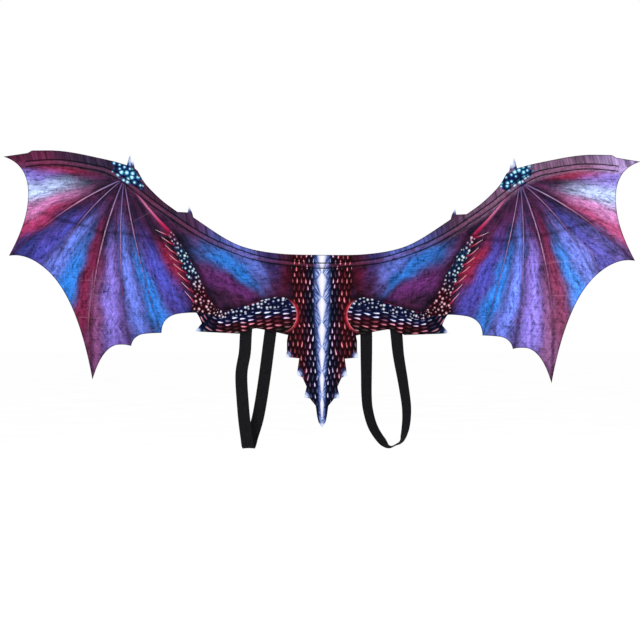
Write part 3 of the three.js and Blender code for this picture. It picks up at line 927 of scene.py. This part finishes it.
def arm_layer(at, base):
    """The arm's skin: a forearm of round pebbles, and rows of scales with their tips towards the wrist."""
    centre, chance, gap = pebbles(vector(at.run + at.side * 170, at.off * 1.1), 7.0)
    where = at.run / 400
    deep = where.ramp(
        [
            (0.26, "7c1a40"), (0.36, "1d4a78"), (0.46, "182a58"), (0.54, "4c0f26"), (0.66, "3c0c1e"),
            (0.76, "161c50"),
        ]
    )
    bright = where.ramp(
        [
            (0.26, "f4a8cc"), (0.36, "eafcff"), (0.47, "cdebff"), (0.56, "ffb4c8"), (0.68, "ffdbe6"),
            (0.78, "e2eaff"),
        ]
    )
    dots = (centre / (0.55 + chance * 0.75)).fade(0.02, 0.36)
    pebbly = deep.times(gap.step(0.03, 0.3) * 0.8 + 0.06).toward(bright, dots * (0.32 + chance * 0.75))
    chance, shine, line = scales(at.rows + at.jog * 0.2, at.cells * -1.0, 0.8, 1.7, 3.9)
    tone = at.share * 0.5 + 0.5 + (chance - 0.5) * 0.2
    deep = tone.ramp(
        [
            (0, "1e2426"), (0.14, "34161e"), (0.34, "64102c"), (0.5, "30144a"), (0.62, "182c78"),
            (0.9, "161c50"),
        ]
    )
    deep = deep.toward("141d4c", (at.run - ELBOW_RUN - 14).fade(0, 34))
    bright = tone.ramp(
        [(0, "7a938c"), (0.2, "c87a84"), (0.4, "ff9aa8"), (0.52, "f0e0ff"), (0.7, "f4f8ff"), (1.0, "d8e6ff")]
    )
    pebbled = (at.share - 0.4 + (at.run - ELBOW_RUN + 14).fade(0, 30) * 2.0).above(0)
    skin = scale_skin(chance, shine, line, deep, bright).toward(pebbly, pebbled)
    on_arm = (at.outside + (chance - 0.5) * 2.0).fade(-0.8, 0.4) * (at.run - 102).step(0, 16)
    return base.toward(skin, on_arm)


def quill_layer(at, base):
    """Slender quills along the outer edge of the forearm, leaning towards the wrist."""
    place = (at.run + at.outside * 1.1 + at.outside.power(2) * 0.07) / 17
    reach = at.outside / 11
    shape = (0.115 - reach * 0.085 - (place.fraction() - 0.5).size()).step(-0.01, 0.02)
    shape = shape * at.outside.above(-2.5) * reach.below(1.0)
    shape = shape * at.off.below(0) * place.above(6) * place.below(14)
    quill = reach.ramp([(0, "7c1430"), (0.3, "c83a58"), (0.6, "f0a8b0"), (1.0, "fff0ea")])
    return base.toward(quill, shape * 0.9)


def edge_layer(at, base):
    """The outline's pale points, a painted highlight on the ridge over the rod, painted shade along the
    seams' stitch lines, and the cut edge.
    """
    ragged = at.feather - 0.5
    frost = (at.tip + ragged * 14).fade(4.0, 15.0)
    pale = (at.tip / 15 + ragged * 0.8).ramp(
        [(0, "fafcff"), (0.4, "c0d0f2"), (0.65, "33468c"), (1.0, "141c48")]
    )
    base = base.toward(pale, frost)
    worked = (CHANNEL_END - at.x.size()).step(-1, 1)
    # A painted highlight along the ridge that the rod raises.
    ridge_highlight = at.across.size().fade(0.4, 3.4) * worked
    base = base.toward("b4567e", ridge_highlight * (0.1 + at.gathers.step(0.4, 0.7) * 0.16))
    # Painted shade in the dents along both stitch lines.
    seam_shade = (at.across.size() - SEAM_HALF).size().fade(0.4, 1.6) * worked
    base = base.times(1 - seam_shade * 0.85)
    cut = (at.edge - 0.8 + (at.hair - 0.5) * 0.8).fade(0.0, 1.0)
    return base.toward("120a16", cut * (1 - frost * 0.7) * 0.65)


# The studio's light makes a surface about this much lighter than its base colour.
EXPOSURE = 0.72

# Turns of the cloth's weft and warp, in radians for each millimetre along X and Z
WEFT = 7.2
WARP = 8.1


def printed_cloth():
    material, tree = new_tree("printed_cloth")
    at = print_values(tree)
    base = hide_layer(at)
    layers = [rib_layer, wrist_layer, spine_layer, kite_layer, bone_layer, arm_layer, quill_layer, edge_layer]
    for layer in layers:
        base = layer(at, base)
    weft = (at.x * WEFT + at.z * WEFT).sine()
    warp = (at.x * WARP - at.z * WARP).sine()
    height = weft * 0.5 + warp * 0.35 + (cloud(vector(at.x, at.z), 1.6) - 0.5)
    surface(
        tree,
        base.times(EXPOSURE),
        0.5 + (at.streak - 0.5) * 0.12,
        (height, 0.00006),
        Specular_IOR_Level=0.03,
        Sheen_Weight=0.02,
        Sheen_Roughness=0.4,
    )
    return material


def cloth_lining():
    """Pale unprinted back: a knit, with the print's colours faintly showing through."""
    material, tree = new_tree("cloth_lining")
    glow = attribute(tree, "glow", 0)
    _, _, edge = attribute(tree, "lines").parts()
    _, _, x = attribute(tree, "channel").parts()
    _, z, _ = attribute(tree, "flat").parts()
    mottle = cloud(vector(x * 0.05, z * 0.05), 1.0, 4.0, 0.6)
    base = mottle.ramp([(0.3, "cdc8cf"), (0.7, "e6e2e6")]).toward(glow, 0.3)
    base = base.toward("2a1c30", (edge + (mottle - 0.5) * 1.6).fade(0.4, 2.2))
    columns = (x * 9.4).sine()
    loops = (z * 7.0 + columns * 0.8).sine()
    base = base.times(0.93 + columns * loops * 0.05)
    surface(tree, base, 0.85, (columns * 0.6 + loops * 0.5, 0.00008), Sheen_Weight=0.12)
    return material


def woven_strip(name, dark, light, ribs, pitch):
    """Black webbing: ribs along it, fine picks across it, and lighter lint."""
    material, tree = new_tree(name)
    along, across, _ = attribute(tree, "strip").parts()
    pick = (along * (2 * math.pi / pitch)).sine()
    rib = (across * (2 * math.pi / ribs)).sine()
    lint = cloud(vector(along * 0.12, across * 0.9), 1.0, 4.0, 0.65)
    cross = (rib * pick) * 0.5 + 0.5
    base = (lint * 0.6 + cross * 0.35).ramp([(0.32, dark), (0.85, light)])
    fibre = cloud(vector(along * 1.2, across * 7))
    roughness = 0.72 + (lint - 0.5) * 0.15
    surface(tree, base, roughness, (cross + fibre * 0.35, 0.00022), Specular_IOR_Level=0.05)
    return material


def sewing_thread():
    material, tree = new_tree("sewing_thread")
    along, around, _ = attribute(tree, "strip").parts()
    twist = (along * 9 + around * 6.28).sine() * 0.5 + 0.5
    base = twist.ramp([(0, "050306"), (1, "1c1119")])
    surface(tree, base, 0.55, (twist, 0.00006), Specular_IOR_Level=0.1)
    return material


def rod_finish():
    material, tree = new_tree("rod_finish")
    place = add_node(tree, "TexCoord", output=3)
    grain = cloud(place, 900.0, 3.0)
    long_grain = cloud(place, 60.0)
    base = (grain * 0.5 + long_grain * 0.5).ramp([(0.3, "1f1f22"), (0.7, "34353a")])
    surface(tree, base, 0.36 + long_grain * 0.18, (grain, 0.00002))
    return material


CLOTH_FRONT = printed_cloth()
CLOTH_BACK = cloth_lining()
TAPE_FINISH = woven_strip("woven_tape", "08070a", "1f1c22", 1.1, 0.9)
BAND_FINISH = woven_strip("woven_elastic", "010102", "232328", 2.4, 1.3)
THREAD = sewing_thread()


# Rows of points along the channel on the panel's front and back, in millimetres above its middle
NEAR_ROWS = [
    -9.4, -7.6, -6.3, -5.4, -4.8, -4.25, -3.7, -3.1, -2.4, -1.8, -1.2, -0.6, 0, 0.6, 1.2, 1.8, 2.4, 3.1, 3.7,
    4.25, 4.8, 5.4, 6.3, 7.6, *np.arange(9.4, 62, 2.2),
]
BACK_ROWS = [-9, -6, -4.25, -3, -1.5, 0, 1.5, 3, 4.25, 6, 9, *np.arange(13, 62, 4.5)]


def wing_cloth():
    lines = np.concatenate([crease_points(), print_points()])
    front, front_faces = triangulate(fill(1.1, NEAR_ROWS, 2.5, lines))
    back, back_faces = triangulate(fill(3.4, BACK_ROWS, 4.4))
    count, edge_count = len(front), len(EDGE_LOOP)
    front_y = cloth_back(front[:, 0], front[:, 1]) - CLOTH
    back_y = cloth_back(back[:, 0], back[:, 1])
    flat = np.concatenate([front, back])
    depth = np.concatenate([front_y, back_y])
    points = hang(np.stack([flat[:, 0], depth, flat[:, 1]], -1))

    def facing(faces, places, outward):
        a, b, c = (places[faces[:, i]] for i in range(3))
        turn = (b[:, 0] - a[:, 0]) * (c[:, 1] - a[:, 1]) - (b[:, 1] - a[:, 1]) * (c[:, 0] - a[:, 0])
        return np.where((turn * outward > 0)[:, None], faces, faces[:, ::-1])

    front_faces = facing(front_faces, front, 1)
    back_faces = facing(back_faces, back, -1) + count
    here = np.arange(edge_count)
    there = np.roll(here, -1)
    # The wall's quads turn the way that the loop does.
    area = np.sum(EDGE_LOOP[here, 0] * EDGE_LOOP[there, 1] - EDGE_LOOP[there, 0] * EDGE_LOOP[here, 1])
    wall = np.stack([here, here + count, there + count, there], -1)
    if area <= 0:
        wall = wall[:, ::-1]
    faces = front_faces.tolist() + back_faces.tolist() + wall.tolist()
    slots = np.concatenate([np.zeros(len(front_faces)), np.ones(len(back_faces)), np.zeros(len(wall))])
    piece = add_piece(
        "wing_cloth", points, faces, [CLOTH_FRONT, CLOTH_BACK], print_fields(flat), slots.astype(np.int32)
    )
    sharpen(piece, lambda a, b: (a % count < edge_count) & (b % count < edge_count))
    return piece


def sharpen(piece, chosen):
    """Marks edges sharp where chosen says so of their two vertices."""
    mesh = piece.data
    ends = np.zeros(len(mesh.edges) * 2, np.int32)
    mesh.edges.foreach_get("vertices", ends)
    ends = ends.reshape(-1, 2)
    mesh.edges.foreach_set("use_edge_sharp", chosen(ends[:, 0], ends[:, 1]))


def turned_out(points, faces):
    """The faces, reversed where the closed body they make is inside out."""
    volume = 0
    for face in faces:
        a = points[face[0]]
        for b, c in zip(face[1:-1], face[2:]):
            volume += np.dot(a, np.cross(points[b], points[c]))
    return [face[::-1] for face in faces] if volume < 0 else faces


def through_rings(rings):
    """Points and faces of a closed body through rings of points."""
    count, sides = rings.shape[:2]
    corner = np.arange(count * sides).reshape(count, sides)
    ahead = np.roll(corner, -1, axis=1)
    quads = np.stack([corner[:-1], ahead[:-1], ahead[1:], corner[1:]], -1).reshape(-1, 4).tolist()
    points = rings.reshape(-1, 3)
    return points, turned_out(points, quads + [corner[0].tolist()[::-1], corner[-1].tolist()])


def casing_tape():
    """The tape on the back, hat-shaped over the rod."""
    half = CASING_WIDTH / 2
    across = np.array([half, 8.4, 7.6, 6.4, 5.4, 4.7, SEAM_HALF, 3.7, 3.0, 2.3, 1.5, 0.7])
    across = np.concatenate([-across, across[::-1]])
    xs = np.arange(-CHANNEL_END, CHANNEL_END + 0.1, 2.0)
    lift = RIDGE_INSIDE * np.sin(0.5 * math.pi * np.clip(1.25 - np.abs(across) / 3.6, 0, 1)) ** 1.2
    lift = np.maximum(lift - CLEARANCE * 0.4, 0)
    rings = np.zeros((len(xs), 2 * len(across), 3))
    arc = np.interp(xs, ARC_X, ARC)
    for side in (0, 1):
        order = across if side == 0 else across[::-1]
        rise = lift if side == 0 else lift[::-1]
        thin = np.where(np.abs(order) == half, 0.35, 1.0)
        dip = np.exp(-(((np.abs(order) - SEAM_HALF) / 0.8) ** 2)) * (0.25 * side)
        wave = 0.12 * noise(arc[:, None] / 6, np.abs(order)[None] / 5, 31) * side
        out = CLEARANCE + rise + (TAPE * 0.5) * (1 + (2 * side - 1) * thin) - dip + wave
        place = slice(side * len(across), (side + 1) * len(across))
        rings[:, place, 0] = xs[:, None]
        rings[:, place, 1] = bow(xs)[:, None] + out
        rings[:, place, 2] = channel_z(xs)[:, None] + order * channel_lean(xs)[:, None]
    points, faces = through_rings(rings)
    strip = np.zeros((len(points), 3))
    strip[:, 0] = np.repeat(arc, 2 * len(across))
    strip[:, 1] = np.tile(np.concatenate([across, across[::-1]]), len(xs))
    return add_piece("casing_tape", hang(points), faces, [TAPE_FINISH], {"strip": strip})


# Depth of a band's middle where it is sewn on, and how finely a band is built along and across
BAND_BACK = 2 * CLEARANCE + TAPE + BAND_THICKNESS / 2
BAND_STEPS = 330
BAND_COLUMNS = 41


def band_curve(points, count):
    """Centripetal Catmull-Rom curve at even parameters, and its share of the route at each."""
    points = np.array(points, float)
    last = len(points) - 1
    made, shares = [], []
    for k in range(count + 1):
        spot = last * k / count
        i = min(int(spot), last - 1)
        t = spot - i
        b, c = points[i], points[i + 1]
        a = points[i - 1] if i > 0 else 2 * b - c
        d = points[i + 2] if i + 2 <= last else 2 * c - b
        ab, bc, cd = (max(np.linalg.norm(q - p) ** 0.5, 1e-4) for p, q in ((a, b), (b, c), (c, d)))
        leave = ((b - a) / ab - (c - a) / (ab + bc) + (c - b) / bc) * bc
        arrive = ((c - b) / bc - (d - b) / (bc + cd) + (d - c) / cd) * bc
        cubic = (2 * b - 2 * c + leave + arrive) * t**3 + (3 * c - 3 * b - 2 * leave - arrive) * t**2
        made.append(cubic + leave * t + b)
        shares.append(k / count)
    return np.array(made), np.array(shares)


def sewn_end(x):
    z = channel_z(x) - (SEAM_HALF + TAPE) * channel_lean(x) - ASKEW * x
    return (x, BAND_BACK, z), channel_slope(x) - ASKEW


def arm_loop(name, route, middle_x):
    """Ribbed elastic band along its route, both ends cut to the lean of the channel."""
    rows = [(middle_x + x * LOOP_WIDTH, BAND_BACK + y * LOOP_DEPTH, z * LOOP_DROP) for x, z, y, _ in route]
    rows = np.array(rows)
    first, last = sewn_end(rows[0][0]), sewn_end(rows[-1][0])
    centre, shares = band_curve([first[0], *rows, last[0]], BAND_STEPS)
    turns = np.radians([0, *(row[3] for row in route), 0])
    turn = np.interp(shares * (len(turns) - 1), np.arange(len(turns)), turns)
    ahead = np.gradient(centre, axis=0)
    step = np.linalg.norm(ahead, axis=1)
    ahead /= step[:, None]
    side = np.stack([np.cos(turn), np.sin(turn), np.zeros(BAND_STEPS + 1)], -1)
    side -= ahead * np.sum(side * ahead, axis=1)[:, None]
    side /= np.linalg.norm(side, axis=1)[:, None]
    side[0], side[-1] = (1, 0, first[1]), (1, 0, last[1])
    through = np.cross(side, ahead)
    through /= np.linalg.norm(through, axis=1)[:, None]
    across = np.linspace(-0.5, 0.5, BAND_COLUMNS) * BAND_WIDTH
    rib = 0.07 * np.cos(across * (2 * math.pi / 2.5)) + 0.05 * (np.abs(across) > 8.6)
    half = BAND_THICKNESS / 2 - 0.07 + rib
    half[[0, -1]] = 0.3
    section = [(a, h) for a, h in zip(across, half)] + [(a, -h) for a, h in zip(across[::-1], half[::-1])]
    arc = np.cumsum(step)
    rings = np.array([[c + s * a + o * h for a, h in section] for c, s, o in zip(centre, side, through)])
    points, faces = through_rings(rings)
    strip = np.array([(length, a, 0) for length in arc for a, _ in section])
    return add_piece(name, points, faces, [BAND_FINISH], {"strip": strip}), rings, arc


def thread(name, runs, radius=0.3, sides=6):
    """Stitches: each run is a row of points along one visible piece of thread."""
    runs = np.array(runs)
    count, length = runs.shape[:2]
    ahead = np.gradient(runs, axis=1)
    ahead /= np.linalg.norm(ahead, axis=2)[..., None]
    up = np.cross(ahead, np.cross((0, 1, 0), ahead))
    up /= np.linalg.norm(up, axis=2)[..., None]
    wide = np.cross(ahead, up)
    turn = np.arange(sides) * 2 * math.pi / sides
    thick = radius * np.sqrt(np.sin(np.linspace(0.16, math.pi - 0.16, length)))
    offset = wide[:, :, None] * np.cos(turn)[:, None] + up[:, :, None] * np.sin(turn)[:, None]
    points = (runs[:, :, None] + offset * thick[:, None, None]).reshape(-1, 3)
    corner = np.arange(length * sides).reshape(length, sides)
    ahead_corner = np.roll(corner, -1, axis=1)
    quads = np.stack([corner[:-1], ahead_corner[:-1], ahead_corner[1:], corner[1:]], -1).reshape(-1, 4)
    caps = [corner[0][::-1].tolist(), corner[-1].tolist()]
    one = turned_out(points[:length * sides], quads.tolist() + caps)
    faces = [[v + i * length * sides for v in face] for i in range(count) for face in one]
    strip = np.zeros((count, length, sides, 3))
    strip[..., 0] = np.arange(length)[None, :, None] * 0.6
    strip[..., 1] = (np.arange(sides) / sides)[None, None]
    return add_piece(name, points, faces, [THREAD], {"strip": strip.reshape(-1, 3)})


# Lengths of a stitch along the channel and where the bands are sewn on
STITCH = 3.3
BOX_STITCH = 2.6


def channel_stitches(front):
    """Both rows of lock stitches along the channel, on one face of the work."""
    low, high = np.interp([-CHANNEL_END + 2, CHANNEL_END - 2], ARC_X, ARC)
    starts = np.arange(low, high - STITCH, STITCH)
    runs = []
    for row in (-SEAM_HALF, SEAM_HALF):
        t = np.linspace(0.08, 0.88, 5)
        arc = starts[:, None] + t * STITCH
        xs = np.interp(arc, ARC, ARC_X)
        zs = channel_z(xs) + row * channel_lean(xs)
        lift = 0.1 + 0.28 * np.sin(math.pi * np.linspace(0, 1, 5))
        if front:
            ys = cloth_back(xs, zs) - CLOTH - lift
        else:
            ys = bow(xs) + CLEARANCE + TAPE - 0.25 + lift
        runs.append(hang(np.stack([xs, ys, zs], -1)))
    return np.concatenate(runs)


def box_stitches(rings, arc, at_start):
    """Two rows of stitches across a band and a cross between them, where it is sewn on."""
    edges = rings[:, (0, BAND_COLUMNS - 1)]
    if not at_start:
        arc, edges = arc[-1] - arc[::-1], edges[::-1]
    low, high = 4.0, 17.0
    side = 8.4
    corners = [
        (-side, low), (side, low), (side, high), (-side, high), (-side, low), (side, high), (side, low),
        (-side, high),
    ]
    y = BAND_BACK + BAND_THICKNESS / 2 + 0.12
    runs = []
    for (a0, d0), (a1, d1) in zip(corners[:-1], corners[1:]):
        count = max(1, round(math.hypot(a1 - a0, d1 - d0) / BOX_STITCH))
        for k in range(count):
            t = np.linspace((k + 0.08) / count, (k + 0.88) / count, 4)
            share, depth = (a0 + (a1 - a0) * t) / BAND_WIDTH + 0.5, d0 + (d1 - d0) * t
            (x0, x1), (z0, z1) = (
                [np.interp(depth, arc, edges[:, edge, axis]) for edge in (0, 1)] for axis in (0, 2)
            )
            run = [x0 * (1 - share) + x1 * share, np.full(4, y), z0 * (1 - share) + z1 * share]
            runs.append(np.stack(run, -1))
    return runs


cloth = wing_cloth()
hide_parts("wing_panel")

tape = casing_tape()
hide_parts("rod_casing")

left_band, left_rings, left_arc = arm_loop("elastic_band_left", FOLDED_ROUTE, -LOOP_MIDDLE)
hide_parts("arm_loop_left")
right_band, right_rings, right_arc = arm_loop("elastic_band_right", ROUND_ROUTE, LOOP_MIDDLE)
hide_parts("arm_loop_right")

front_seams = thread("seam_thread_front", channel_stitches(True))
back_seams = thread("seam_thread_back", channel_stitches(False))
left_tacks = thread(
    "tack_thread_left", box_stitches(left_rings, left_arc, True) + box_stitches(left_rings, left_arc, False)
)
right_tacks = thread(
    "tack_thread_right",
    box_stitches(right_rings, right_arc, True) + box_stitches(right_rings, right_arc, False),
)

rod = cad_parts["stiffening_rod"]
rod.data.materials.clear()
rod.data.materials.append(rod_finish())


# Floor, light and camera
def studio():
    mesh = bpy.data.meshes.new("floor")
    reach, level = 90, -0.62
    corners = [(-reach, -reach, level), (reach, -reach, level), (reach, reach, level), (-reach, reach, level)]
    mesh.from_pydata(corners, [], [(0, 1, 2, 3)])
    material, tree = new_tree("pale_floor")
    place = add_node(tree, "TexCoord", output=3)
    base = cloud(place, 3.0).ramp([(0.3, "fcfcfc"), (0.7, "ffffff")])
    surface(tree, base, 0.9, Specular_IOR_Level=0.0)
    mesh.materials.append(material)
    floor = bpy.data.objects.new("floor", mesh)
    bpy.context.scene.collection.objects.link(floor)

    world = bpy.data.worlds.new("studio")
    world.use_nodes = True
    world.node_tree.nodes["Background"].inputs["Color"].default_value = (1, 1, 1, 1)
    world.node_tree.nodes["Background"].inputs["Strength"].default_value = 1.0
    bpy.context.scene.world = world

    for name, place, size, power in (
        ("key", (-1.7, -1.9, 2.1), 1.1, 78),
        ("fill", (2.6, -1.6, 0.7), 1.4, 10),
    ):
        light = bpy.data.lights.new(name, "AREA")
        light.size = size
        light.energy = power
        lamp = bpy.data.objects.new(name, light)
        lamp.location = place
        lamp.rotation_mode = "QUATERNION"
        lamp.rotation_quaternion = (Vector((0, 0, -0.05)) - Vector(place)).to_track_quat("-Z", "Y")
        bpy.context.scene.collection.objects.link(lamp)

    camera = bpy.data.objects.new("camera", bpy.data.cameras.new("camera"))
    frame_width, distance = 1.0583, 5.0
    camera.data.sensor_width = 36
    camera.data.lens = 36 * distance / frame_width
    camera.data.clip_end = 50
    camera.location = (-0.0033, -distance, -0.0898)
    camera.rotation_euler = (math.radians(90), 0, 0)
    bpy.context.scene.collection.objects.link(camera)
    bpy.context.scene.camera = camera
    bpy.context.scene.view_settings.view_transform = "Standard"


studio()

bpy.context.view_layer.update()
